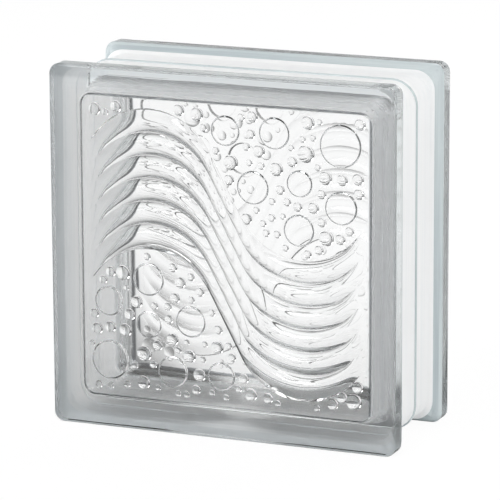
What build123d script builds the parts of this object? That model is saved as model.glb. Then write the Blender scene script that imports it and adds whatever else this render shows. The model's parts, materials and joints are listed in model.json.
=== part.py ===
"""A square hollow glass block with a wave and bubbles pressed into its two panes.

The block is two pressed halves, each a pane with a rim and a wall round it, fused face to face.
Both halves come from one mould, so the back one is the front one turned half round.
Units are millimetres, +Z is up, the front pane faces -Y and the origin is the bottom centre.
"""

import os
from math import asin, atan2, degrees, hypot

from build123d import *

# Driving dimensions: a standard metric block
SIDE = 190.0
DEPTH = 80.0

# Rim, mortar groove and fused seam
RIM_DEPTH = 10.0
RIM_CORNER = 5.5
RIM_ROUNDING = 1.5
GROOVE = 4.0
SHOULDER = 9.8
GROOVE_CORNER = 13.0
BEAD = 0.8

# Pane, wall and the hollow between them
PANE = 8.0
WALL_AT_SEAM = 5.5
HOLLOW_CORNER = 12.0
HOLLOW_DRAFT = 9.5

# Relief on the inner face of each pane: ridges stand into the hollow, bubbles sink into the pane
RIDGE_HEIGHT = 2.2
FLOOR_HEIGHT = 0.4
RIDGE_FLANK = 1.0
BUBBLE_DEPTH = 1.0
BUBBLE_TAPER = 30.0
SUNK = 1.0

# Wave band: places as shares of SIDE from the pane's centre
FLUTES = 6
FLUTE_PITCH = SIDE * 0.0632
FLUTE_FLOOR = FLUTE_PITCH * 0.3
CREST = Vector(-0.218 * SIDE, 0.386 * SIDE)
TROUGH = Vector(0.225 * SIDE, 0.006 * SIDE)
BEND_RADIUS = SIDE * 0.2
OUTER_BEND = 52.0
RUN_OUT = SIDE * 0.12

# Large bubbles: across, up and radius as shares of SIDE from the pane's centre
BUBBLES = (
    (0.006, 0.346, 0.042),
    (0.147, 0.349, 0.044),
    (0.335, 0.328, 0.059),
    (0.085, 0.197, 0.046),
    (0.337, 0.161, 0.046),
    (0.217, 0.091, 0.044),
    (-0.222, -0.081, 0.046),
    (-0.340, -0.151, 0.042),
    (-0.098, -0.188, 0.044),
    (-0.338, -0.316, 0.055),
    (-0.152, -0.333, 0.044),
    (-0.009, -0.332, 0.040),
)

# Planes of the front half, looking at it from outside
HALF = DEPTH / 2
seam_plane = Plane((0, 0, SIDE / 2), x_dir=(1, 0, 0), z_dir=(0, -1, 0))
pane_plane = seam_plane.offset(HALF - PANE)


def wave_curve():
    """The wave's upper line: two bends joined by their inner tangent, with straight run-outs."""
    crest_centre = CREST - Vector(0, BEND_RADIUS)
    trough_centre = TROUGH + Vector(0, BEND_RADIUS)
    between = trough_centre - crest_centre
    lean = degrees(atan2(between.Y, between.X))
    fall = degrees(asin(2 * BEND_RADIUS / hypot(between.X, between.Y))) - lean
    with BuildLine() as curve:
        crest = CenterArc(crest_centre, BEND_RADIUS, 90 + OUTER_BEND, -(OUTER_BEND + fall))
        trough = CenterArc(trough_centre, BEND_RADIUS, 270 - fall, fall + OUTER_BEND)
        Line(crest @ 1, trough @ 0)
        Line(crest @ 0 - RUN_OUT * (crest % 0), crest @ 0)
        Line(trough @ 1, trough @ 1 + RUN_OUT * (trough % 1))
    return curve.wire().moved(pane_plane.location)


def flute_outline(start):
    """Section of the band at its left end: flutes between sharp ridges, its foot sunk into the pane."""
    section_plane = Plane(start, x_dir=(0, 0, 1), z_dir=(1, 0, 0))
    band_foot = -FLUTES * FLUTE_PITCH
    flank = (FLUTE_PITCH - FLUTE_FLOOR) / 2
    with BuildSketch(section_plane) as outline:
        with BuildLine():
            for flute in range(FLUTES):
                upper = -flute * FLUTE_PITCH
                lower = upper - FLUTE_PITCH
                Polyline(
                    (upper, -RIDGE_HEIGHT),
                    (upper - flank, -FLOOR_HEIGHT),
                    (lower + flank, -FLOOR_HEIGHT),
                    (lower, -RIDGE_HEIGHT),
                )
            Polyline(
                (band_foot, -RIDGE_HEIGHT),
                (band_foot - RIDGE_FLANK, SUNK),
                (RIDGE_FLANK, SUNK),
                (0, -RIDGE_HEIGHT),
            )
        make_face()
    return outline.sketch


def square_outline(inset, corner, depth):
    """A rounded square, parallel to the seam and so far in front of it, set in from SIDE."""
    with BuildSketch(seam_plane.offset(depth)) as outline:
        RectangleRounded(SIDE - 2 * inset, SIDE - 2 * inset, corner)
    return outline.sketch


# The hollow of the front half, with the wave left standing on its pane and the bubbles cut into it
with BuildPart() as hollow:
    extrude(square_outline(GROOVE + WALL_AT_SEAM, HOLLOW_CORNER, 0), amount=HALF - PANE)
    side_walls = hollow.faces().sort_by(Axis.Y)[1:-1]
    draft(side_walls, neutral_plane=seam_plane, angle=HOLLOW_DRAFT)
    band_curve = wave_curve()
    sweep(
        sections=flute_outline(band_curve.start_point()),
        path=band_curve,
        normal=(1, 0, 0),
        mode=Mode.SUBTRACT,
    )
    for across, up, radius in BUBBLES:
        with BuildSketch(pane_plane):
            with Locations((across * SIDE, up * SIDE)):
                Circle(radius * SIDE)
        extrude(amount=BUBBLE_DEPTH, taper=BUBBLE_TAPER)

# The front half: wall, sloping shoulder, rim and its share of the seam's bead
with BuildPart() as front_half:
    extrude(square_outline(GROOVE, GROOVE_CORNER, 0), amount=HALF)
    rim_foot = HALF - RIM_DEPTH
    loft(
        sections=[
            square_outline(GROOVE, GROOVE_CORNER, rim_foot - SHOULDER),
            square_outline(0, RIM_CORNER, rim_foot),
        ]
    )
    extrude(square_outline(0, RIM_CORNER, rim_foot), amount=RIM_DEPTH)
    rim_edges = front_half.faces().sort_by(Axis.Y)[0].edges()
    fillet(rim_edges, RIM_ROUNDING)
    extrude(square_outline(GROOVE - BEAD, GROOVE_CORNER + BEAD, 0), amount=BEAD)
    add(hollow.part, mode=Mode.SUBTRACT)
front_half.part.label = "front half"

# The back half is the same pressing, turned half round
with BuildPart() as back_half:
    add(front_half.part, rotation=(0, 0, 180))
back_half.part.label = "back half"

os.makedirs("parts", exist_ok=True)
export_step(front_half.part, "parts/front_half.step")
export_step(back_half.part, "parts/back_half.step")
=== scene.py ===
"""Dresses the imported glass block: clear pressed glass with its relief, on a pale studio floor.

All lengths are metres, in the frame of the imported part: +Z up, front pane towards -Y.
"""

import json
import math
import random

import bmesh
import bpy
from mathutils import Matrix, Quaternion, Vector
from mathutils.geometry import delaunay_2d_cdt

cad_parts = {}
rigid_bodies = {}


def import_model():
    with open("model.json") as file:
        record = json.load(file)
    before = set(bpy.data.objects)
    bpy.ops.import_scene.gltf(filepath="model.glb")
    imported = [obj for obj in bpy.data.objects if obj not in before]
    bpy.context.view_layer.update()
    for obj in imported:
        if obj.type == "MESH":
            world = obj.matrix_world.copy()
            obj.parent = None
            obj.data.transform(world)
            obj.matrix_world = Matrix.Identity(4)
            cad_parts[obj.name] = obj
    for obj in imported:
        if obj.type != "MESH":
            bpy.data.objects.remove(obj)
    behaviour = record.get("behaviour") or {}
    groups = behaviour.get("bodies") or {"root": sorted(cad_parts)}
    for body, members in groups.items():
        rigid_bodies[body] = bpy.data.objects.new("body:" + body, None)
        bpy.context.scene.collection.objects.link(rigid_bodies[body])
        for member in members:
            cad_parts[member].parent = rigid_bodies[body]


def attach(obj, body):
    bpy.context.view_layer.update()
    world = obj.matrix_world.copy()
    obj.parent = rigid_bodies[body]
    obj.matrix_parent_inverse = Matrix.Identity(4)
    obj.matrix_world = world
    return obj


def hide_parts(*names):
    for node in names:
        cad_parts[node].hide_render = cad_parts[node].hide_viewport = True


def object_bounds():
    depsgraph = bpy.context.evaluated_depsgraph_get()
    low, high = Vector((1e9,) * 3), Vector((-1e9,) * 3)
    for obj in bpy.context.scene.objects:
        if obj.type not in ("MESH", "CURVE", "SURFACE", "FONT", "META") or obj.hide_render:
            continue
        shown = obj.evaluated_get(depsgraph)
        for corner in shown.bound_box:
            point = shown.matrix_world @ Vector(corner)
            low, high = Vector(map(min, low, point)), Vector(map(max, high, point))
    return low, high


bl_info = {
    "name": "Glass block",
    "version": (1, 0, 0),
    "blender": (4, 5, 0),
    "location": "View3D > Sidebar > Glass block",
    "description": "Builds a pressed glass block with wave and bubble relief",
    "category": "Add Mesh",
}

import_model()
CAD_LOW, CAD_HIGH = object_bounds()
SIDE = CAD_HIGH.x - CAD_LOW.x
DEPTH = CAD_HIGH.y - CAD_LOW.y
CENTRE = Vector((0, 0, (CAD_LOW.z + CAD_HIGH.z) / 2))
MM = 0.001


class GlassBlockSizes(bpy.types.PropertyGroup):
    """Sizes of the pressed glass body."""

    rim_depth: bpy.props.FloatProperty(
        name="Rim depth", description="Front to back size of each rim",
        default=10 * MM, unit="LENGTH",
    )
    rim_corner: bpy.props.FloatProperty(
        name="Rim corner", description="Radius of the rim's outline at its corners",
        default=5.5 * MM, unit="LENGTH",
    )
    rim_rounding: bpy.props.FloatProperty(
        name="Rim rounding", description="Rounding of the rim's outer edge",
        default=1.5 * MM, unit="LENGTH",
    )
    shoulder: bpy.props.FloatProperty(
        name="Shoulder", description="Depth of the slope from rim to groove",
        default=9.8 * MM, unit="LENGTH",
    )
    coat_start: bpy.props.FloatProperty(
        name="Coat start", description="Share of the shoulder before the white edge coat starts",
        default=0.67, min=0.1, max=0.85, subtype="FACTOR",
    )
    groove: bpy.props.FloatProperty(
        name="Groove depth", description="Depth of the mortar groove",
        default=4 * MM, unit="LENGTH",
    )
    groove_corner: bpy.props.FloatProperty(
        name="Groove corner", description="Radius of the groove's outline",
        default=13 * MM, unit="LENGTH",
    )
    bead: bpy.props.FloatProperty(
        name="Bead", description="Height of the fused seam's bead",
        default=0.8 * MM, unit="LENGTH",
    )
    pane: bpy.props.FloatProperty(
        name="Pane", description="Thickness of each pane", default=8 * MM, unit="LENGTH",
    )
    wall: bpy.props.FloatProperty(
        name="Wall", description="Thickness of the wall at the seam",
        default=5.5 * MM, unit="LENGTH",
    )
    hollow_corner: bpy.props.FloatProperty(
        name="Hollow corner", description="Corner radius of the hollow at the seam",
        default=12 * MM, unit="LENGTH",
    )
    hollow_draft: bpy.props.FloatProperty(
        name="Hollow draft", description="Slope of the hollow's walls",
        default=math.radians(9.5), unit="ROTATION",
    )
    hollow_rounding: bpy.props.FloatProperty(
        name="Hollow rounding", description="Rounding where wall meets pane",
        default=2 * MM, unit="LENGTH",
    )


class GlassBlockRelief(bpy.types.PropertyGroup):
    """Sizes of the relief pressed into the inner face of each pane."""

    flutes: bpy.props.IntProperty(
        name="Flutes", description="Scooped flutes in the wave", default=6, min=1, max=12,
    )
    pitch: bpy.props.FloatProperty(
        name="Flute pitch", description="Upright distance between ridges",
        default=0.0632 * SIDE, unit="LENGTH",
    )
    crest: bpy.props.FloatVectorProperty(
        name="Crest", description="Top of the wave, across and up from the pane's centre",
        default=(-0.218 * SIDE, 0.386 * SIDE), size=2, unit="LENGTH",
    )
    trough: bpy.props.FloatVectorProperty(
        name="Trough", description="Low point of the wave, across and up from the pane's centre",
        default=(0.225 * SIDE, 0.006 * SIDE), size=2, unit="LENGTH",
    )
    bend: bpy.props.FloatProperty(
        name="Bend", description="Radius of the wave's two bends",
        default=0.2 * SIDE, unit="LENGTH",
    )
    outer_turn: bpy.props.FloatProperty(
        name="Outer turn", description="How far each bend turns before it runs out straight",
        default=math.radians(52), unit="ROTATION",
    )
    ridge_height: bpy.props.FloatProperty(
        name="Ridge height", description="Height of a ridge over the pane",
        default=2.7 * MM, unit="LENGTH",
    )
    flute_floor: bpy.props.FloatProperty(
        name="Flute floor", description="Height of a flute's lowest line",
        default=0.3 * MM, unit="LENGTH",
    )
    flank: bpy.props.FloatProperty(
        name="Flank", description="Width of the outermost ridges' flanks",
        default=0.8 * MM, unit="LENGTH",
    )
    fade: bpy.props.FloatProperty(
        name="Fade", description="Distance over which the relief dies out at the pane's edge",
        default=14 * MM, unit="LENGTH",
    )
    disc_depth: bpy.props.FloatProperty(
        name="Disc depth", description="Depth of the large flat bubbles",
        default=1.2 * MM, unit="LENGTH",
    )
    disc_wall: bpy.props.FloatProperty(
        name="Disc wall", description="Width of the slope round a large bubble",
        default=1.0 * MM, unit="LENGTH",
    )
    dome_share: bpy.props.FloatProperty(
        name="Dome share", description="Height of a domed bubble over its radius",
        default=0.45, min=0.05, max=1.0,
    )
    small_bubbles: bpy.props.IntProperty(
        name="Small bubbles", description="Tries made to place small bubbles between the others",
        default=2600, min=0,
    )


class GlassBlockColours(bpy.types.PropertyGroup):
    """Colours of the glass and of its edge coat, with painted shade on the border, the top strip,
    the corner line and the shoulder.
    """

    glass: bpy.props.FloatVectorProperty(
        name="Glass", description="Colour of the clear panes",
        default=(0.995, 0.998, 0.998, 1), size=4, subtype="COLOR",
    )
    # Border and its marks: the glass's own slight tint, darkened with painted shade for the shaded
    # coat seen through it; the marks vary it at random.
    border: bpy.props.FloatVectorProperty(
        name="Border", description="Colour of the thick glass round a pane",
        default=(0.90, 0.935, 0.95, 1), size=4, subtype="COLOR",
    )
    border_deep: bpy.props.FloatVectorProperty(
        name="Border marks", description="Colour of the darker mould marks on the border",
        default=(0.80, 0.84, 0.86, 1), size=4, subtype="COLOR",
    )
    rim_side: bpy.props.FloatVectorProperty(
        name="Rim side", description="Colour of the glass seen through a rim's side",
        default=(0.66, 0.72, 0.73, 1), size=4, subtype="COLOR",
    )
    # Painted shade: a darker grey along the pane's upper edge only, where the sides have none.
    top_painted_shade: bpy.props.FloatVectorProperty(
        name="Top strip", description="Colour of the thick glass along a pane's upper edge",
        default=(0.56, 0.60, 0.62, 1), size=4, subtype="COLOR",
    )
    # Painted shade: a dark line in the crease where the hollow's wall meets a pane.
    corner_painted_shade: bpy.props.FloatVectorProperty(
        name="Corner line", description="Colour of the line where the hollow's wall meets a pane",
        default=(0.12, 0.13, 0.14, 1), size=4, subtype="COLOR",
    )
    # Shoulder, its marks and its inside: painted shade, a grey shaded copy seen from outside and a
    # pale lit copy seen through the glass.
    shoulder: bpy.props.FloatVectorProperty(
        name="Shoulder", description="Colour of the sloping shoulder and the seam",
        default=(0.50, 0.55, 0.56, 1), size=4, subtype="COLOR",
    )
    shoulder_shade_marks: bpy.props.FloatVectorProperty(
        name="Shoulder marks", description="Colour of the darker mould marks on the shoulder",
        default=(0.36, 0.41, 0.43, 1), size=4, subtype="COLOR",
    )
    shoulder_lit_inside: bpy.props.FloatVectorProperty(
        name="Shoulder inside", description="Colour of the shoulder seen through the glass",
        default=(0.88, 0.9, 0.91, 1), size=4, subtype="COLOR",
    )
    coat: bpy.props.FloatVectorProperty(
        name="Coat", description="Colour of the white edge coat",
        default=(0.98, 0.985, 0.985, 1), size=4, subtype="COLOR",
    )
    coat_marks: bpy.props.FloatVectorProperty(
        name="Coat marks", description="Colour of the coat where it is thin",
        default=(0.90, 0.92, 0.93, 1), size=4, subtype="COLOR",
    )


def settings():
    """The three groups of sizes and colours kept on the scene."""
    scene = bpy.context.scene
    return scene.glass_block_sizes, scene.glass_block_relief, scene.glass_block_colours


# Large flat bubbles: across, up and radius as shares of SIDE from the pane's centre
DISCS = (
    (0.006, 0.346, 0.042), (0.147, 0.349, 0.044), (0.335, 0.328, 0.059),
    (0.085, 0.197, 0.046), (0.219, 0.218, 0.037), (0.337, 0.161, 0.046),
    (0.217, 0.091, 0.044), (-0.222, -0.081, 0.046), (-0.340, -0.151, 0.042),
    (-0.222, -0.207, 0.038), (-0.098, -0.188, 0.044), (-0.338, -0.316, 0.055),
    (-0.152, -0.333, 0.044), (-0.009, -0.332, 0.040),
)

# Larger domed bubbles between them: across, up and radius in millimetres from the pane's centre
DOMES = (
    (-14.5, 73, 3.6), (-24.5, 74.5, 3.1), (16, 74, 3), (46, 73, 3.6), (74, 74, 3),
    (15, 65, 2.5), (45, 57, 4.6), (19.5, 56.5, 3.3), (4, 49.5, 4), (29, 48, 3.6),
    (37.5, 52.5, 2.8), (55.5, 45.5, 3.6), (64.5, 45, 3), (73, 46, 3.1), (3, 40.5, 2.8),
    (31, 37.5, 2.5), (53.5, 37, 2.5), (12.5, 21, 3), (49, 29.5, 3), (40.5, 29.5, 2.5),
    (56, 14.5, 4), (63.5, 14.5, 2.8), (68.5, 19, 2.5), (53.5, 22.5, 2.5), (52, 8, 2.5),
    (73.5, 38.5, 2.8), (-56.5, -13, 4), (-63.5, -13, 2.8), (-28.5, -8, 2.5),
    (-24.5, -15.5, 3.1), (-13.5, -19.5, 2.5), (-27.5, -24, 2.8), (-49, -28, 3.3),
    (-53, -35, 3.1), (-31, -35.5, 2.5), (-29, -46, 3.3), (-37.5, -50, 2.8), (-3.5, -38.5, 2.5),
    (-4, -48, 3.5), (-19.5, -54, 3.5), (-45, -55, 4.2), (-55.5, -43.5, 3.5), (-64, -42.5, 3),
    (-71.5, -44, 3), (-73, -36, 2.5), (-14, -63.5, 3.5), (10.5, -63, 2.8), (14.5, -71, 3.5),
    (24, -72, 2.8), (-16, -71.5, 2.5), (-45.5, -70.5, 3.6), (-71.5, 72, 3.3), (-59.5, 74, 3.1),
    (59.5, -71.5, 3.1), (64.5, -67.5, 3), (71, -69, 4.3), (73, -61.5, 3.1),
)

# Small domed bubbles: smallest and largest radius, the glass left between neighbours, and the
# glass left between a bubble and the wave or the pane's edge
SMALL_RADII = (1.6 * MM, 2.3 * MM)
BUBBLE_GAP = 0.9 * MM
BUBBLE_CLEARANCE = 2 * MM
SCATTER_SEED = 7

# How far a large bubble's floor rises from its middle to its edge, as a share of its depth
DISH = 0.25

# How finely the body is cut: steps round outlines and along curves
SIDE_STEPS = 24
CORNER_STEPS = 8
RIM_STEPS = 8
BEAD_STEPS = 4
HOLLOW_STEPS = 6
WAVE_STEPS = 150
DISC_POINTS = 48
DOME_POINTS = 30

# Where flutes are cut, as shares of their pitch, and bubbles, as shares of their wall or radius
FLUTE_CUTS = (0.0, 0.03, 0.08, 0.15, 0.25, 0.37, 0.5, 0.63, 0.75, 0.85, 0.92, 0.97)
DISC_CUTS = (0.15, 0.35, 0.55, 0.75, 0.9, 1.0, 1.1)
DOME_CUTS = (1.0, 0.92, 0.78, 0.58, 0.32)

# Spacing of the points on the plain pane, and the least distance kept between two cuts
PANE_SPACING = 6 * MM
MARGIN = 0.1 * MM

# The flutes' cuts end this far from the pane's edge, in a slightly wider strip that stays flat
CUT_END = 3 * MARGIN
FLAT_EDGE = 0.5 * MM

# Points nearer than these are one point, in the cutting and when the body is joined
CUT_TOLERANCE = 1e-7
WELD = 0.002 * MM

# Edges sharper than this are shaded as edges
SHARP_ANGLE = math.radians(25)

# Where the shoulder is cut, as shares of it, before and after the coat starts
SHOULDER_CUTS = (0.07, 0.12)
COATED_CUTS = (0.9, 0.95, 1.0)

# Distance from an edge to the extra cut beside it, which keeps its shading off the flat next to it
FACE_HOLD = 4 * MARGIN
RIM_HOLD = 3 * MARGIN
RIM_FOOT_HOLDS = (10 * MARGIN, 4 * MARGIN)
GROOVE_HOLD = 8 * MARGIN
BEAD_HOLD = 3 * MARGIN
HOLLOW_HOLD = 5 * MARGIN

# The same beside the outermost ridges' flanks, as a share of the flute pitch
FLANK_HOLD = 0.03

# Least corner radius of the hollow
SMALLEST_CORNER = 10 * MARGIN

# Material slots of the body; the clear glass has slot nought
COAT_SLOT = 1
SHOULDER_SLOT = 2


def new_object(name, data):
    """An object with this data, put into the scene."""
    thing = bpy.data.objects.new(name, data)
    bpy.context.scene.collection.objects.link(thing)
    return thing


class WaveLine:
    """The wave's top ridge: two bends joined by their inner tangent, with straight run-outs.

    The left run-out ends at left_end, the crest's bend at leave and the tangent, which falls by
    the angle fall, at meet. The trough's bend ends at right_end, where the other run-out starts.
    """

    def __init__(self, relief):
        self.bend = relief.bend
        self.turn = relief.outer_turn
        self.crest_u = relief.crest[0]
        self.crest_v = relief.crest[1] - relief.bend
        self.trough_u = relief.trough[0]
        self.trough_v = relief.trough[1] + relief.bend
        run = self.trough_u - self.crest_u
        rise = self.trough_v - self.crest_v
        self.fall = math.asin(2 * self.bend / math.hypot(run, rise)) - math.atan2(rise, run)
        self.left_end = self.crest_u - self.bend * math.sin(self.turn)
        self.leave = self.crest_u + self.bend * math.sin(self.fall)
        self.meet = self.trough_u - self.bend * math.sin(self.fall)
        self.right_end = self.trough_u + self.bend * math.sin(self.turn)

    def height(self, u):
        """Height of the line over the pane's centre, at u across."""
        if u < self.left_end:
            foot = self.crest_v + self.bend * math.cos(self.turn)
            return foot - (self.left_end - u) * math.tan(self.turn)
        if u < self.leave:
            return self.crest_v + math.sqrt(self.bend**2 - (u - self.crest_u) ** 2)
        if u < self.meet:
            start = self.crest_v + self.bend * math.cos(self.fall)
            return start - (u - self.leave) * math.tan(self.fall)
        if u < self.right_end:
            return self.trough_v - math.sqrt(self.bend**2 - (u - self.trough_u) ** 2)
        foot = self.trough_v - self.bend * math.cos(self.turn)
        return foot + (u - self.right_end) * math.tan(self.turn)

    def lean(self, u):
        """Slope of the line at u across."""
        step = 0.05 * MM
        return (self.height(u + step) - self.height(u)) / step


class NodeDesk:
    """Adds nodes to a tree and links them; most calls give back the new node's output."""

    def __init__(self, tree):
        self.tree = tree

    def add(self, kind, **choices):
        """Adds a node and sets its choices; gives the node."""
        node = self.tree.nodes.new(kind)
        for name, value in choices.items():
            setattr(node, name, value)
        return node

    def feed(self, socket, value):
        """Links another socket to this one, or sets its value."""
        if isinstance(value, bpy.types.NodeSocket):
            self.tree.links.new(value, socket)
        else:
            socket.default_value = value

    def feed_all(self, node, **values):
        """Feeds inputs by name, with underscores for spaces; gives the node."""
        for name, value in values.items():
            self.feed(node.inputs[name.replace("_", " ")], value)
        return node

    def maths(self, operation, *values):
        node = self.add("ShaderNodeMath", operation=operation)
        for socket, value in zip(node.inputs, values):
            self.feed(socket, value)
        return node.outputs[0]

    def vectors(self, operation, *values):
        node = self.add("ShaderNodeVectorMath", operation=operation)
        for socket, value in zip(node.inputs, values):
            self.feed(socket, value)
        return node.outputs["Value" if operation == "DISTANCE" else "Vector"]

    def times(self, first, second):
        return self.maths("MULTIPLY", first, second)

    def minus(self, first, second):
        return self.maths("SUBTRACT", first, second)

    def square(self, value):
        return self.times(value, value)

    def split(self, vector):
        """The vector's X, Y and Z."""
        node = self.add("ShaderNodeSeparateXYZ")
        self.feed(node.inputs[0], vector)
        return node.outputs

    def clamp(self, value, low, high):
        return self.maths("MINIMUM", self.maths("MAXIMUM", value, low), high)

    def ramp(self, value, low, high, start=0.0, end=1.0):
        """Goes smoothly from start to end as the value goes from low to high."""
        node = self.add("ShaderNodeMapRange", interpolation_type="SMOOTHSTEP")
        self.feed_all(node, Value=value, From_Min=low, From_Max=high, To_Min=start, To_Max=end)
        return node.outputs["Result"]

    def band(self, value, rise, fall):
        """Goes from nought to one over the rise, and back to nought over the fall."""
        return self.times(self.ramp(value, *rise), self.ramp(value, *fall, 1.0, 0.0))

    def pick(self, share, first, second):
        """Mixes two numbers."""
        node = self.add("ShaderNodeMix", data_type="FLOAT")
        self.feed(node.inputs[0], share)
        self.feed(node.inputs[2], first)
        self.feed(node.inputs[3], second)
        return node.outputs[0]

    def tint(self, share, first, second):
        """Mixes two colours."""
        node = self.add("ShaderNodeMix", data_type="RGBA")
        self.feed(node.inputs[0], share)
        self.feed(node.inputs[6], first)
        self.feed(node.inputs[7], second)
        return node.outputs[2]


def rounded_square(half, corner):
    """Points round a square with rounded corners, anticlockwise from its lower right side."""
    points = []
    reach = half - corner
    for quarter in range(4):
        turn = quarter * math.pi / 2
        across = Vector((math.cos(turn), math.sin(turn)))
        along = Vector((-math.sin(turn), math.cos(turn)))
        for step in range(SIDE_STEPS):
            points.append(half * across + (2 * step / SIDE_STEPS - 1) * reach * along)
        for step in range(CORNER_STEPS):
            swing = turn + math.pi / 2 * step / CORNER_STEPS
            spoke = Vector((math.cos(swing), math.sin(swing)))
            points.append(reach * (across + along) + corner * spoke)
    return points


def skin(bm, stations, inwards):
    """Joins rounded squares, given as (y, half, corner), into a tube of faces; gives its loops."""
    loops = []
    for y, half, corner in stations:
        outline = rounded_square(half, corner)
        loops.append([bm.verts.new((u, y, v + CENTRE.z)) for u, v in outline])
    for first, second in zip(loops, loops[1:]):
        for i in range(len(first)):
            j = (i + 1) % len(first)
            quad = (first[i], first[j], second[j], second[i])
            bm.faces.new(quad if inwards else quad[::-1])
    return loops


def arc_steps(end, steps):
    """Angles from nought to end."""
    return [end * i / steps for i in range(steps + 1)]


def outer_stations(sizes):
    """Outside of the front half from the front face's edge to the seam, as (y, half, corner)."""
    front = -DEPTH / 2
    half = SIDE / 2
    rounding = sizes.rim_rounding
    rim_foot = front + sizes.rim_depth
    groove_half = half - sizes.groove
    rows = [(front, half - rounding - FACE_HOLD, sizes.rim_corner - rounding)]
    for angle in arc_steps(math.pi / 2, RIM_STEPS):
        y = front + rounding * (1 - math.cos(angle))
        inset = rounding * (1 - math.sin(angle))
        rows.append((y, half - inset, sizes.rim_corner - inset))
    rows.append((front + rounding + RIM_HOLD, half, sizes.rim_corner))
    for hold in RIM_FOOT_HOLDS:
        rows.append((rim_foot - hold, half, sizes.rim_corner))
    for share in (*SHOULDER_CUTS, sizes.coat_start, *COATED_CUTS):
        corner = sizes.rim_corner + (sizes.groove_corner - sizes.rim_corner) * share
        rows.append((rim_foot + share * sizes.shoulder, half - sizes.groove * share, corner))
    rows.append((rim_foot + sizes.shoulder + GROOVE_HOLD, groove_half, sizes.groove_corner))
    rows.append((-sizes.bead - BEAD_HOLD, groove_half, sizes.groove_corner))
    for angle in arc_steps(math.pi / 2, BEAD_STEPS):
        y = -sizes.bead * math.cos(angle)
        proud = sizes.bead * math.sin(angle)
        rows.append((y, groove_half + proud, sizes.groove_corner + proud))
    return rows


def hollow_stations(sizes):
    """Hollow of the front half from the pane's edge to the seam, as (y, half, corner)."""
    pane_y = -DEPTH / 2 + sizes.pane
    slope = math.tan(sizes.hollow_draft)
    half_seam = SIDE / 2 - sizes.groove - sizes.wall
    half_pane = half_seam + pane_y * slope
    corner_pane = sizes.hollow_corner + pane_y * slope
    rounding = sizes.hollow_rounding
    sweep = math.pi / 2 - sizes.hollow_draft
    setback = rounding * math.tan(sweep / 2)
    rows = []
    for angle in arc_steps(sweep, HOLLOW_STEPS):
        y = pane_y + rounding * (1 - math.cos(angle))
        inset = setback - rounding * math.sin(angle)
        corner = max(corner_pane - inset, SMALLEST_CORNER)
        rows.append((y, half_pane - inset, corner))
    above = rows[-1][0] + HOLLOW_HOLD
    widening = (above - pane_y) * slope
    rows.append((above, half_pane + widening, corner_pane + widening))
    rows.append((0.0, half_seam, sizes.hollow_corner))
    return rows


def both_halves(rows):
    """The front half's rows, followed by the same rows for the back half."""
    return rows + [(-y, half, corner) for y, half, corner in reversed(rows[:-1])]


def large_bubbles():
    """The large flat bubbles as (across, up, radius) in metres."""
    return [(across * SIDE, up * SIDE, radius * SIDE) for across, up, radius in DISCS]


def domed_bubbles(relief, wave, border):
    """The placed domes, and small ones strewn where neither bubbles nor the wave stand."""
    domes = [(across * MM, up * MM, radius * MM) for across, up, radius in DOMES]
    taken = large_bubbles() + domes
    chance = random.Random(SCATTER_SEED)
    for _ in range(relief.small_bubbles):
        radius = chance.uniform(*SMALL_RADII)
        reach = border - radius - BUBBLE_CLEARANCE
        u = chance.uniform(-reach, reach)
        v = chance.uniform(-reach, reach)
        below = (wave.height(u) - v) / math.hypot(1, wave.lean(u))
        band = relief.flutes * relief.pitch / math.hypot(1, wave.lean(u))
        if -radius - BUBBLE_CLEARANCE < below < band + radius + BUBBLE_CLEARANCE:
            continue
        if all(math.hypot(u - a, v - b) > radius + r + BUBBLE_GAP for a, b, r in taken):
            domes.append((u, v, radius))
            taken.append((u, v, radius))
    return domes


class PanePlan:
    """Points and lines of the flat pane, gathered before it is cut into triangles."""

    def __init__(self):
        self.points = []
        self.lines = []

    def run(self, points, closed=False):
        """Adds a line through the points."""
        start = len(self.points)
        self.points.extend(points)
        last = len(self.points)
        self.lines.extend((i, i + 1) for i in range(start, last - 1))
        if closed:
            self.lines.append((last - 1, start))

    def rings(self, across, up, radii, count):
        """Adds circles round one place, and the place itself."""
        for radius in radii:
            angles = [2 * math.pi * i / count for i in range(count)]
            ring = [(across + radius * math.cos(a), up + radius * math.sin(a)) for a in angles]
            self.run(ring, closed=True)
        self.points.append((across, up))


def flat_pane(outline, relief, wave, border, domes):
    """Cuts the pane into triangles along the flutes and round the bubbles; gives a flat mesh."""
    plan = PanePlan()
    plan.run([tuple(point) for point in outline], closed=True)
    keep = border - CUT_END
    flank = relief.flank / relief.pitch
    cuts = [flute + cut for flute in range(relief.flutes) for cut in FLUTE_CUTS]
    foot = relief.flutes
    cuts += [-flank - FLANK_HOLD, -flank, foot, foot + flank, foot + flank + FLANK_HOLD]
    for cut in cuts:
        run = []
        for step in range(WAVE_STEPS + 1):
            u = -keep + 2 * keep * step / WAVE_STEPS
            v = wave.height(u) - cut * relief.pitch
            if abs(v) < keep:
                run.append((u, v))
            elif run:
                plan.run(run)
                run = []
        if len(run) > 1:
            plan.run(run)
    for across, up, radius in large_bubbles():
        slope = [radius - relief.disc_wall * cut for cut in DISC_CUTS]
        plan.rings(across, up, [radius + MARGIN, radius, *slope, radius / 2], DISC_POINTS)
    for across, up, radius in domes:
        rings = [radius * cut for cut in DOME_CUTS]
        plan.rings(across, up, [radius + MARGIN, *rings], DOME_POINTS)
    count = int(keep / PANE_SPACING)
    for i in range(-count, count + 1):
        for j in range(-count, count + 1):
            plan.points.append((i * PANE_SPACING, j * PANE_SPACING))
    points = [Vector(point) for point in plan.points]
    cut_points, _, triangles, *_ = delaunay_2d_cdt(points, plan.lines, [], 1, CUT_TOLERANCE)
    pane_y = -DEPTH / 2 + settings()[0].pane
    mesh = bpy.data.meshes.new("flat_pane")
    places = [(u, pane_y, v + CENTRE.z) for u, v in cut_points]
    mesh.from_pydata(places, [], [corners[::-1] for corners in triangles])
    return mesh


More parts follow.
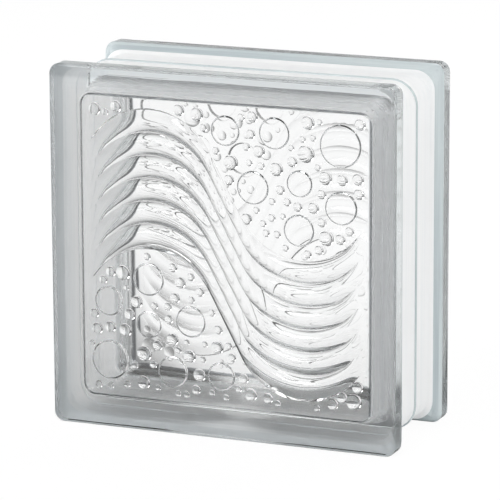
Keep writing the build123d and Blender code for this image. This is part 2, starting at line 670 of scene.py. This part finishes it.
def bubble_places(name, bubbles):
    """An object with one point for each bubble, which carries the bubble's radius."""
    pane_y = -DEPTH / 2 + settings()[0].pane
    mesh = bpy.data.meshes.new(name)
    mesh.from_pydata([(u, pane_y, v + CENTRE.z) for u, v, _ in bubbles], [], [])
    radii = mesh.attributes.new("radius", "FLOAT", "POINT")
    radii.data.foreach_set("value", [radius for _, _, radius in bubbles])
    return new_object(name, mesh)


def attribute(desk, name):
    """The number that each point carries under this name."""
    node = desk.add("GeometryNodeInputNamedAttribute", data_type="FLOAT")
    desk.feed_all(node, Name=name)
    return node.outputs["Attribute"]


def store_height(desk, surface, selection, height):
    """Keeps a new height on the selected points; gives the surface."""
    node = desk.add("GeometryNodeStoreNamedAttribute", data_type="FLOAT", domain="POINT")
    desk.feed_all(node, Geometry=surface, Selection=selection, Name="height", Value=height)
    return node.outputs["Geometry"]


def wave_nodes(desk, given, wave, across, up):
    """Height of the fluted wave over the pane, at places across and up from its centre.

    The ridges stand lower where the wave is steep and they crowd together.
    """
    # Height and lean of the top ridge, from its two bends, the tangent and the run-outs
    on_crest = desk.clamp(across, wave.left_end, wave.leave)
    on_trough = desk.clamp(across, wave.meet, wave.right_end)
    bends = []
    for place, middle in ((on_crest, wave.crest_u), (on_trough, wave.trough_u)):
        reach = desk.minus(place, middle)
        squares = desk.minus(wave.bend**2, desk.square(reach))
        rise = desk.maths("SQRT", squares)
        bends.append((rise, desk.maths("DIVIDE", reach, rise)))
    (crest_rise, crest_lean), (trough_rise, trough_lean) = bends
    fallen = desk.minus(desk.clamp(across, wave.leave, wave.meet), wave.leave)
    before = desk.maths("MINIMUM", desk.minus(across, wave.left_end), 0.0)
    after = desk.maths("MAXIMUM", desk.minus(across, wave.right_end), 0.0)
    run_out = desk.times(desk.maths("ADD", before, after), math.tan(wave.turn))
    drop = desk.times(fallen, math.tan(wave.fall))
    line = desk.minus(crest_rise, trough_rise)
    line = desk.maths("ADD", line, wave.crest_v + wave.bend * math.cos(wave.fall))
    line = desk.minus(desk.maths("ADD", line, run_out), drop)
    lean = desk.minus(trough_lean, crest_lean)
    lean = desk.maths("ADD", lean, math.tan(wave.fall))

    # A scoop between each two ridges: one on a ridge and nought midway
    down = desk.maths("DIVIDE", desk.minus(line, up), given["Flute pitch"])
    share = desk.maths("MULTIPLY_ADD", desk.maths("FRACT", down), 2.0, -1.0)
    scoop = desk.square(share)
    crowding = desk.maths("MULTIPLY_ADD", lean, lean, 1.0)
    rise = desk.minus(given["Ridge height"], given["Flute floor"])
    rise = desk.maths("DIVIDE", rise, crowding)
    fluted = desk.maths("MULTIPLY_ADD", rise, scoop, given["Flute floor"])
    ridge = desk.maths("ADD", rise, given["Flute floor"])

    # Flanks beyond the first and the last ridge
    past = desk.minus(down, given["Flutes"])
    outside = desk.maths("MAXIMUM", past, desk.times(down, -1.0))
    outside = desk.times(outside, given["Flute pitch"])
    flank = desk.minus(1.0, desk.maths("DIVIDE", outside, given["Flank"]))
    flank = desk.times(desk.clamp(flank, 0.0, 1.0), ridge)
    return desk.pick(desk.maths("GREATER_THAN", outside, 0.0), fluted, flank)


def press_bubbles(desk, surface, bubbles, profile):
    """Goes through the bubbles one by one and sets the height of the points that each covers."""
    count = desk.add("GeometryNodeAttributeDomainSize", component="MESH")
    desk.feed_all(count, Geometry=bubbles)
    first = desk.add("GeometryNodeRepeatInput")
    last = desk.add("GeometryNodeRepeatOutput")
    first.pair_with_output(last)
    desk.feed_all(first, Iterations=count.outputs["Point Count"], Geometry=surface)
    position = desk.add("GeometryNodeInputPosition").outputs[0]
    sampled = []
    for kind, value in (("FLOAT_VECTOR", position), ("FLOAT", attribute(desk, "radius"))):
        sample = desk.add("GeometryNodeSampleIndex", data_type=kind, domain="POINT")
        desk.feed_all(sample, Geometry=bubbles, Value=value, Index=first.outputs["Iteration"])
        sampled.append(sample.outputs["Value"])
    place, radius = sampled
    gap = desk.vectors("DISTANCE", position, place)
    height = profile(gap, radius, attribute(desk, "height"))
    covered = desk.maths("LESS_THAN", gap, radius)
    pressed = store_height(desk, first.outputs["Geometry"], covered, height)
    desk.feed_all(last, Geometry=pressed)
    return last.outputs["Geometry"]


def relief_tree(wave):
    """Node tree that presses the wave and the bubbles into a flat pane."""
    tree = bpy.data.node_groups.new("pressed_relief", "GeometryNodeTree")
    tree.interface.new_socket(name="Pane", in_out="OUTPUT", socket_type="NodeSocketGeometry")
    wanted = {
        "Geometry": ("Pane",),
        "Object": ("Large bubbles", "Domed bubbles"),
        "Material": ("Glass",),
        "Float": (
            "Flutes", "Flute pitch", "Ridge height", "Flute floor", "Flank", "Pane half", "Fade",
            "Disc depth", "Disc wall", "Dome share",
        ),
    }
    for kind, names in wanted.items():
        for name in names:
            tree.interface.new_socket(name=name, in_out="INPUT", socket_type="NodeSocket" + kind)
    desk = NodeDesk(tree)
    given = desk.add("NodeGroupInput").outputs
    position = desk.add("GeometryNodeInputPosition").outputs[0]
    across, _, up = desk.split(desk.vectors("SUBTRACT", position, tuple(CENTRE)))

    fluted = wave_nodes(desk, given, wave, across, up)
    far = desk.maths("MAXIMUM", desk.maths("ABSOLUTE", across), desk.maths("ABSOLUTE", up))
    edge = desk.minus(desk.minus(given["Pane half"], far), FLAT_EDGE)
    faded = desk.times(fluted, desk.ramp(edge, 0.0, given["Fade"]))
    surface = store_height(desk, given["Pane"], True, faded)

    def disc(gap, radius, height):
        """A dished bubble sunk into the pane, whatever stood there before."""
        sunk = desk.ramp(desk.minus(radius, gap), 0.0, given["Disc wall"])
        share = desk.maths("DIVIDE", gap, radius)
        dish = desk.maths("MULTIPLY_ADD", desk.square(share), -DISH, 1 + DISH)
        sunk = desk.times(sunk, dish)
        return desk.times(sunk, desk.times(given["Disc depth"], -1.0))

    def dome(gap, radius, height):
        """The cap of a ball, kept where it stands higher than what is there."""
        tall = desk.times(radius, given["Dome share"])
        squares = desk.maths("MULTIPLY_ADD", tall, tall, desk.square(radius))
        ball = desk.maths("DIVIDE", desk.maths("DIVIDE", squares, tall), 2.0)
        inside = desk.minus(desk.square(ball), desk.square(gap))
        sunk = desk.minus(ball, tall)
        cap = desk.minus(desk.maths("SQRT", inside), sunk)
        return desk.maths("MAXIMUM", height, cap)

    for name, profile in (("Large bubbles", disc), ("Domed bubbles", dome)):
        places = desk.feed_all(desk.add("GeometryNodeObjectInfo"), Object=given[name])
        surface = press_bubbles(desk, surface, places.outputs["Geometry"], profile)
    offset = desk.add("ShaderNodeCombineXYZ")
    desk.feed(offset.inputs["Y"], attribute(desk, "height"))
    pressed = desk.add("GeometryNodeSetPosition")
    desk.feed_all(pressed, Geometry=surface, Offset=offset.outputs[0])
    plain = desk.add("GeometryNodeRemoveAttribute")
    desk.feed_all(plain, Geometry=pressed.outputs[0], Name="height")
    solid = desk.feed_all(desk.add("GeometryNodeRealizeInstances"), Geometry=plain.outputs[0])
    glazed = desk.add("GeometryNodeSetMaterial")
    desk.feed_all(glazed, Geometry=solid.outputs[0], Material=given["Glass"])
    desk.feed_all(desk.add("NodeGroupOutput"), Pane=glazed.outputs[0])
    return tree


def pressed_pane(outline, border, glass):
    """The front pane's inner face with its relief, as a plain mesh."""
    relief = settings()[1]
    wave = WaveLine(relief)
    domes = domed_bubbles(relief, wave, border)
    pane = new_object("pane", flat_pane(outline, relief, wave, border, domes))
    discs_at = bubble_places("large_bubbles", large_bubbles())
    domes_at = bubble_places("domed_bubbles", domes)
    modifier = pane.modifiers.new("Pressed relief", "NODES")
    modifier.node_group = relief_tree(wave)
    values = {
        "Large bubbles": discs_at, "Domed bubbles": domes_at, "Glass": glass,
        "Flutes": float(relief.flutes), "Flute pitch": relief.pitch,
        "Ridge height": relief.ridge_height, "Flute floor": relief.flute_floor,
        "Flank": relief.flank, "Pane half": border, "Fade": relief.fade,
        "Disc depth": relief.disc_depth, "Disc wall": relief.disc_wall,
        "Dome share": relief.dome_share,
    }
    for item in modifier.node_group.interface.items_tree:
        if item.in_out == "INPUT" and item.name in values:
            modifier[item.identifier] = values[item.name]
    finished = pane.evaluated_get(bpy.context.evaluated_depsgraph_get())
    mesh = bpy.data.meshes.new_from_object(finished)
    for spare in (pane, discs_at, domes_at):
        bpy.data.objects.remove(spare)
    return mesh


def mark_outside(bm, sizes):
    """Gives the groove the coat, and the seam and the rest of the shoulder their own glass in
    painted shade.
    """
    rim_foot = DEPTH / 2 - sizes.rim_depth
    coat_edge = rim_foot - sizes.coat_start * sizes.shoulder
    for face in bm.faces:
        depth = abs(face.calc_center_median().y)
        if sizes.bead < depth < coat_edge:
            face.material_index = COAT_SLOT
        elif depth < rim_foot + 2 * MARGIN:
            face.material_index = SHOULDER_SLOT


class GLASSBLOCK_OT_body(bpy.types.Operator):
    """Builds the fused glass body with its hollow and the relief inside both panes"""

    bl_idname = "glassblock.body"
    bl_label = "Glass body"

    def execute(self, context):
        sizes, _, colours = settings()
        glass = clear_glass(colours)
        bm = bmesh.new()
        loops = skin(bm, both_halves(outer_stations(sizes)), inwards=False)
        mark_outside(bm, sizes)
        bm.faces.new(loops[0])
        bm.faces.new(loops[-1][::-1])
        hollow = both_halves(hollow_stations(sizes))
        skin(bm, hollow, inwards=True)
        border, corner = hollow[0][1:]
        relief = pressed_pane(rounded_square(border, corner), border, glass)
        bm.from_mesh(relief)
        relief.transform(Matrix.Rotation(math.pi, 4, "Z"))
        bm.from_mesh(relief)
        bmesh.ops.remove_doubles(bm, verts=bm.verts, dist=WELD)
        if any(not edge.is_manifold for edge in bm.edges):
            raise RuntimeError("the glass body isn't closed")
        mesh = bpy.data.meshes.new("glass_block")
        bm.to_mesh(mesh)
        bm.free()
        mesh.shade_smooth()
        mesh.set_sharp_from_angle(angle=SHARP_ANGLE)
        body = new_object("glass_block", mesh)
        mesh.materials.append(glass)
        mesh.materials.append(edge_coat(colours))
        mesh.materials.append(shoulder_painted_shade(colours))
        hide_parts("front_half", "back_half")
        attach(body, "root")
        print("glass body:", len(mesh.vertices), "vertices,", len(mesh.polygons), "faces")
        return {"FINISHED"}


# The marks' noise, and the part of it that goes from no mark to a full one
MARK_NOISE = {"Detail": 3.0, "Roughness": 0.6}
MARK_RANGE = (0.3, 0.7)


def mould_marks():
    """Node group: faint marks along the rims and the groove, and the place on the block.

    Edge is how far a place is across or up from the block's middle, whichever is more. Depth is
    how far it is from the seam, and Up is its height over the middle.
    """
    found = bpy.data.node_groups.get("mould_marks")
    if found:
        return found
    tree = bpy.data.node_groups.new("mould_marks", "ShaderNodeTree")
    for name in ("Length", "Fineness"):
        tree.interface.new_socket(name=name, in_out="INPUT", socket_type="NodeSocketFloat")
    for name in ("Marks", "Edge", "Depth", "Up"):
        tree.interface.new_socket(name=name, in_out="OUTPUT", socket_type="NodeSocketFloat")
    desk = NodeDesk(tree)
    given = desk.add("NodeGroupInput").outputs
    where = desk.add("ShaderNodeTexCoord").outputs["Object"]
    x, y, z = desk.split(desk.vectors("SUBTRACT", where, tuple(CENTRE)))
    wide = desk.maths("ABSOLUTE", x)
    high = desk.maths("ABSOLUTE", z)
    on_side = desk.maths("GREATER_THAN", wide, high)
    along = desk.times(desk.pick(on_side, x, z), given["Length"])
    across = desk.times(desk.pick(on_side, z, x), given["Fineness"])
    inwards = desk.times(y, given["Fineness"])
    grain = desk.add("ShaderNodeCombineXYZ")
    for socket, value in zip(grain.inputs, (along, across, inwards)):
        desk.feed(socket, value)
    noise = desk.add("ShaderNodeTexNoise")
    desk.feed_all(noise, Vector=grain.outputs[0], Scale=1.0, **MARK_NOISE)
    out = desk.add("NodeGroupOutput")
    desk.feed_all(out, Marks=desk.ramp(noise.outputs[0], *MARK_RANGE))
    desk.feed_all(out, Edge=desk.maths("MAXIMUM", wide, high))
    desk.feed_all(out, Depth=desk.maths("ABSOLUTE", y), Up=z)
    return tree


def new_material(name, length, fineness):
    """A material with its shader and its own copy of the mould marks."""
    material = bpy.data.materials.new(name)
    material.use_nodes = True
    desk = NodeDesk(material.node_tree)
    marks = desk.add("ShaderNodeGroup", node_tree=mould_marks())
    desk.feed_all(marks, Length=length, Fineness=fineness)
    return material, desk, material.node_tree.nodes["Principled BSDF"], marks.outputs


def bump(desk, shader, height, distance, strength):
    """Raises the surface by a height; the distance is that of a full height of one."""
    node = desk.add("ShaderNodeBump")
    desk.feed_all(node, Height=height, Distance=distance, Strength=strength)
    desk.feed(shader.inputs["Normal"], node.outputs[0])


def blend_shaders(material, desk, share, first, second):
    """Gives the material a mix of two shaders."""
    blend = desk.add("ShaderNodeMixShader")
    for socket, value in zip(blend.inputs, (share, first.outputs[0], second.outputs[0])):
        desk.feed(socket, value)
    desk.feed(material.node_tree.nodes["Material Output"].inputs["Surface"], blend.outputs[0])


# Where the glass changes, measured from the block's middle: each change starts and ends here
OUTER_FACE = (32.5 * MM, 33.5 * MM)
# The border band takes painted shade over the glass's tint, and the marks' bump
BORDER = (78 * MM, 86 * MM)
WALL = (79.8 * MM, 80.2 * MM)
RIM_SIDE = (93.7 * MM, 94.9 * MM)
# The top strip is where painted shade darkens the glass along the upper edge
TOP_PAINTED_SHADE = (87.5 * MM, 90.0 * MM)

# The dark line of painted shade in the crease round the hollow's corner: where it comes in and
# dies out, outwards and in depth
SHADE_LINE_OUTWARDS = ((78.6 * MM, 79.3 * MM), (80.2 * MM, 80.9 * MM))
SHADE_LINE_IN_DEPTH = ((28.5 * MM, 29.5 * MM), (32.2 * MM, 32.8 * MM))

# How long and how fine the mould marks are on each material, in marks a metre
GLASS_MARKS = (5.0, 260.0)
COAT_MARKS = (8.0, 420.0)
SHOULDER_MARKS = (8.0, 300.0)

# Roughness: of the relief, and where the marks are faint and where they are full
RELIEF_ROUGHNESS = 0.04
WALL_ROUGHNESS = (0.18, 0.32)
COAT_ROUGHNESS = (0.5, 0.7)
SHOULDER_ROUGHNESS = (0.3, 0.55)

# Bump: height of a full mark, and strength
GLASS_BUMP = (0.2 * MM, 0.35)
COAT_BUMP = (0.15 * MM, 0.3)

# Refraction of the glass; how sharply the coat wears, and how much light and which comes through
GLASS_IOR = 1.5
COAT_WEAR = 2.0
COAT_LETS_THROUGH = 0.38
COAT_LIGHT = (0.97, 0.97, 0.97, 1)


def clear_glass(colours):
    """Clear pressed glass: polished outside, softer inside, with marks on the border, and painted
    shade on the border, the top strip and the hollow's corner line.
    """
    material, desk, shader, marks = new_material("clear_pressed_glass", *GLASS_MARKS)
    edge, depth = marks["Edge"], marks["Depth"]
    outside = desk.ramp(depth, *OUTER_FACE)
    on_border = desk.times(desk.ramp(edge, *BORDER), outside)
    # Painted shade: the top strip of the outer face is darker
    on_top_painted_shade = desk.times(desk.ramp(marks["Up"], *TOP_PAINTED_SHADE), outside)
    # Painted shade in the crease where the hollow's wall meets a pane
    on_shade_line = desk.band(edge, *SHADE_LINE_OUTWARDS)
    on_shade_line = desk.times(on_shade_line, desk.band(depth, *SHADE_LINE_IN_DEPTH))
    on_side = desk.ramp(edge, *RIM_SIDE)
    # The border's grey: the glass's slight tint with painted shade, varied by the marks
    shade_painted = desk.tint(marks["Marks"], colours.border, colours.border_deep)
    colour = desk.tint(on_border, colours.glass, shade_painted)
    colour = desk.tint(on_top_painted_shade, colour, colours.top_painted_shade)
    colour = desk.tint(on_shade_line, colour, colours.corner_painted_shade)
    desk.feed(shader.inputs["Base Color"], desk.tint(on_side, colour, colours.rim_side))
    on_wall = desk.ramp(edge, *WALL)
    wall_rough = desk.pick(marks["Marks"], *WALL_ROUGHNESS)
    rough = desk.pick(outside, desk.pick(on_wall, RELIEF_ROUGHNESS, wall_rough), 0.0)
    desk.feed(shader.inputs["Roughness"], rough)
    shader.inputs["IOR"].default_value = GLASS_IOR
    shader.inputs["Transmission Weight"].default_value = 1.0
    bump(desk, shader, desk.times(marks["Marks"], on_border), *GLASS_BUMP)
    return material


def edge_coat(colours):
    """White coat on the groove's walls, which mortar grips; some light comes through it."""
    material, desk, shader, marks = new_material("white_edge_coat", *COAT_MARKS)
    worn = desk.maths("POWER", marks["Marks"], COAT_WEAR)
    colour = desk.tint(worn, colours.coat, colours.coat_marks)
    desk.feed(shader.inputs["Base Color"], colour)
    desk.feed(shader.inputs["Roughness"], desk.pick(marks["Marks"], *COAT_ROUGHNESS))
    bump(desk, shader, marks["Marks"], *COAT_BUMP)
    through = desk.add("ShaderNodeBsdfTranslucent")
    desk.feed_all(through, Color=COAT_LIGHT)
    blend_shaders(material, desk, COAT_LETS_THROUGH, shader, through)
    return material


def shoulder_painted_shade(colours):
    """Glass of the shoulder and the fused seam in painted shade: a grey shaded copy from outside
    and a pale lit copy from inside.
    """
    material, desk, shader, marks = new_material("shoulder_painted_shade", *SHOULDER_MARKS)
    # Painted shade: grey seen from outside, and a pale lit copy where the face is seen from behind
    inside = desk.add("ShaderNodeNewGeometry").outputs["Backfacing"]
    grey = desk.tint(marks["Marks"], colours.shoulder, colours.shoulder_shade_marks)
    colour = desk.tint(inside, grey, colours.shoulder_lit_inside)
    desk.feed(shader.inputs["Base Color"], colour)
    desk.feed(shader.inputs["Roughness"], desk.pick(marks["Marks"], *SHOULDER_ROUGHNESS))
    bump(desk, shader, marks["Marks"], *COAT_BUMP)
    return material


# Floor: half its side, the glow it has for the camera, and how much of it glows seen in glass
FLOOR_HALF = 12.0
FLOOR_GLOW = 0.94
FLOOR_IN_GLASS = 0.85
FLOOR_COLOURS = ((0.95, 0.95, 0.95, 1), (0.93, 0.93, 0.93, 1))
FLOOR_NOISE = {"Scale": 3.0, "Detail": 2.0}
FLOOR_ROUGHNESS = 0.9

# Glow seen in glass: it goes from dark at the sides to bright ahead, with |y| of the direction
DARK_SIDES = 0.08
AHEAD = (0.6, 0.9)

# Painted shadow: the floor near the block glows less than further away, seen in glass; distances
# first, then both glows
FLOOR_PAINTED_SHADOW = (0.05, 0.3, 0.86, 0.93)

# Room seen in glass, with the height of the direction: bright at the horizon, dark above
SKY_FALLOFF = (0.02, 0.3, 1.0, 0.12)

# Room that lights the block, with the height of the direction: bright low down, dim overhead
ROOM_FALLOFF = (0.1, 0.9, 1.2, 0.15)

# Lamps: name, place, power in watts, and whether glass shows it
LAMP_SIZE = 1.2
LAMPS = (
    ("right_softbox", (1.7, -0.2, 0.4), 11.0, False),
    ("left_softbox", (-1.7, -0.2, 0.4), 20.0, False),
    ("front_softbox", (-0.4, -1.3, 1.3), 19.0, True),
    ("back_softbox", (0.3, 1.1, 1.5), 17.0, True),
)

# Camera, fitted to the block's corners in the photograph; millimetres, degrees and metres
CAMERA_SENSOR = 36.0
CAMERA_LENS = 266.69
CAMERA_AZIMUTH = 22.67
CAMERA_ELEVATION = 13.24
CAMERA_ROLL = -0.26
CAMERA_DISTANCE = 1.9185
CAMERA_TARGET = (-0.00025, 0.0, 0.09106)

# Longest paths of light, which glass in glass needs
BOUNCES = {
    "max_bounces": 24,
    "transmission_bounces": 24,
    "glossy_bounces": 16,
    "diffuse_bounces": 8,
}


def through_glass(desk):
    """One for a ray that the glass sent straight on to the stage, and the outputs of its path."""
    path = desk.add("ShaderNodeLightPath").outputs
    from_glass = desk.maths("MAXIMUM", path["Is Glossy Ray"], path["Is Transmission Ray"])
    direct = desk.maths("LESS_THAN", path["Diffuse Depth"], 0.5)
    return desk.times(from_glass, direct), path


def glow_ahead(desk, y):
    """Glow seen in glass in a direction with this y."""
    return desk.ramp(desk.maths("ABSOLUTE", y), *AHEAD, DARK_SIDES, 1.0)


def lay_floor():
    """A wide pale floor that looks white to the camera and keeps the block's shadow; seen in
    glass, it glows less near the block, a painted shadow.
    """
    mesh = bpy.data.meshes.new("floor")
    r = FLOOR_HALF
    mesh.from_pydata([(-r, -r, 0), (r, -r, 0), (r, r, 0), (-r, r, 0)], [], [(0, 1, 2, 3)])
    floor = new_object("floor", mesh)
    material = bpy.data.materials.new("studio_floor")
    material.use_nodes = True
    mesh.materials.append(material)
    desk = NodeDesk(material.node_tree)
    shader = material.node_tree.nodes["Principled BSDF"]
    where = desk.add("ShaderNodeTexCoord").outputs["Object"]
    noise = desk.add("ShaderNodeTexNoise")
    desk.feed_all(noise, Vector=where, **FLOOR_NOISE)
    colour = desk.tint(noise.outputs[0], *FLOOR_COLOURS)
    desk.feed_all(shader, Base_Color=colour, Roughness=FLOOR_ROUGHNESS, Specular_IOR_Level=0.0)
    direction = desk.split(desk.vectors("NORMALIZE", where))
    # Painted shadow: the glow seen in glass falls near the block
    away = desk.ramp(desk.vectors("DISTANCE", where, (0, 0, 0)), *FLOOR_PAINTED_SHADOW)
    in_glass, path = through_glass(desk)
    dimmed = desk.times(glow_ahead(desk, direction["Y"]), away)
    strength = desk.pick(in_glass, 1.0, dimmed)
    glow = desk.feed_all(desk.add("ShaderNodeEmission"), Strength=strength)
    seen = desk.times(path["Is Camera Ray"], FLOOR_GLOW)
    share = desk.maths("MULTIPLY_ADD", in_glass, FLOOR_IN_GLASS, seen)
    blend_shaders(material, desk, share, shader, glow)


def light_room(scene):
    """A white room that looks dark at its sides and overhead through the glass, and soft lamps."""
    world = bpy.data.worlds.new("studio")
    scene.world = world
    world.use_nodes = True
    desk = NodeDesk(world.node_tree)
    background = world.node_tree.nodes["Background"]
    _, y, height = desk.split(desk.add("ShaderNodeTexCoord").outputs["Generated"])
    in_glass, _ = through_glass(desk)
    dimmed = desk.times(glow_ahead(desk, y), desk.ramp(height, *SKY_FALLOFF))
    strength = desk.pick(in_glass, desk.ramp(height, *ROOM_FALLOFF), dimmed)
    desk.feed_all(background, Color=(1, 1, 1, 1), Strength=strength)
    for name, place, power, shown in LAMPS:
        data = bpy.data.lights.new(name, "AREA")
        data.size = LAMP_SIZE
        data.energy = power
        lamp = new_object(name, data)
        lamp.location = place
        lamp.visible_glossy = shown
        lamp.visible_transmission = shown
        lamp.rotation_euler = (CENTRE - Vector(place)).to_track_quat("-Z", "Y").to_euler()


def place_camera(scene):
    """Looks at the block from the photograph's side."""
    data = bpy.data.cameras.new("camera")
    data.sensor_width = CAMERA_SENSOR
    data.lens = CAMERA_LENS
    camera = new_object("camera", data)
    azimuth = math.radians(CAMERA_AZIMUTH)
    elevation = math.radians(CAMERA_ELEVATION)
    level = Vector((math.sin(azimuth), -math.cos(azimuth), 0))
    back = level * math.cos(elevation) + Vector((0, 0, math.sin(elevation)))
    camera.location = Vector(CAMERA_TARGET) + back * CAMERA_DISTANCE
    roll = Quaternion((0, 0, 1), math.radians(CAMERA_ROLL))
    camera.rotation_euler = ((-back).to_track_quat("-Z", "Y") @ roll).to_euler()
    scene.camera = camera


class GLASSBLOCK_OT_stage(bpy.types.Operator):
    """Sets the floor, the studio light and the camera"""

    bl_idname = "glassblock.stage"
    bl_label = "Stage"

    def execute(self, context):
        scene = context.scene
        lay_floor()
        light_room(scene)
        place_camera(scene)
        scene.view_settings.view_transform = "Standard"
        for name, bounces in BOUNCES.items():
            setattr(scene.cycles, name, bounces)
        return {"FINISHED"}


class GLASSBLOCK_PT_sidebar(bpy.types.Panel):
    """Lists the block's sizes and colours and what can be built"""

    bl_idname = "GLASSBLOCK_PT_sidebar"
    bl_label = "Glass block"
    bl_space_type = "VIEW_3D"
    bl_region_type = "UI"
    bl_category = "Glass block"

    def draw(self, context):
        for group in settings():
            box = self.layout.box()
            for name in group.__annotations__:
                box.prop(group, name)
        self.layout.operator(GLASSBLOCK_OT_body.bl_idname)
        self.layout.operator(GLASSBLOCK_OT_stage.bl_idname)


GROUPS = {
    "glass_block_sizes": GlassBlockSizes,
    "glass_block_relief": GlassBlockRelief,
    "glass_block_colours": GlassBlockColours,
}
CLASSES = (*GROUPS.values(), GLASSBLOCK_OT_body, GLASSBLOCK_OT_stage, GLASSBLOCK_PT_sidebar)


def register():
    for cls in CLASSES:
        bpy.utils.register_class(cls)
    for name, group in GROUPS.items():
        setattr(bpy.types.Scene, name, bpy.props.PointerProperty(type=group))


def unregister():
    for name in GROUPS:
        delattr(bpy.types.Scene, name)
    for cls in reversed(CLASSES):
        bpy.utils.unregister_class(cls)


def main():
    register()
    bpy.ops.glassblock.body()
    bpy.ops.glassblock.stage()


if __name__ == "__main__":
    main()
